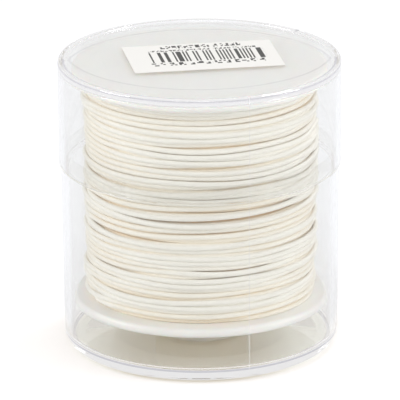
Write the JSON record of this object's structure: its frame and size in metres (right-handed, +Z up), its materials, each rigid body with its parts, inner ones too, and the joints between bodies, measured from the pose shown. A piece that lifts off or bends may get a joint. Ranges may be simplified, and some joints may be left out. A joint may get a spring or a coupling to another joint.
{
  "type": "boxed cord spool",
  "caption": "Clear round plastic box with a deep lift-off lid, holding a white flanged spool of cream cord that turns on a post in the base.",
  "frame": {"origin": "centre of the box's foot, on the surface that it stands on", "axes": "+Z up along the axis of the box and the spool, -Y towards the viewer of the picture"},
  "size_m": [0.06, 0.06, 0.0626],
  "materials": {
    "clear_plastic": "clear polished polystyrene",
    "white_plastic": "satin",
    "cord": "dry braided cord",
    "paper": "matt paper"
  },
  "bodies": {
    "cup": {"box_base": "clear_plastic", "box_wall": "clear_plastic"},
    "lid": {"box_lid": "clear_plastic", "box_lid_skirt": "clear_plastic", "product_label": "paper"},
    "spool": {"spool_barrel": "white_plastic", "spool_lower_flange": "white_plastic", "spool_upper_flange": "white_plastic", "cord_inner_layers": "cord", "cord_outer_layer": "cord"}
  },
  "joints": [
    {"name": "lid_lift", "type": "slide", "parent": "cup", "child": "lid", "axis": [0, 0, 1], "range_m": [0, 0.025]},
    {"name": "spool_turn", "type": "hinge", "parent": "cup", "child": "spool", "pos_m": [0, 0, 0.0096], "axis": [0, 0, 1], "continuous": true}
  ]
}
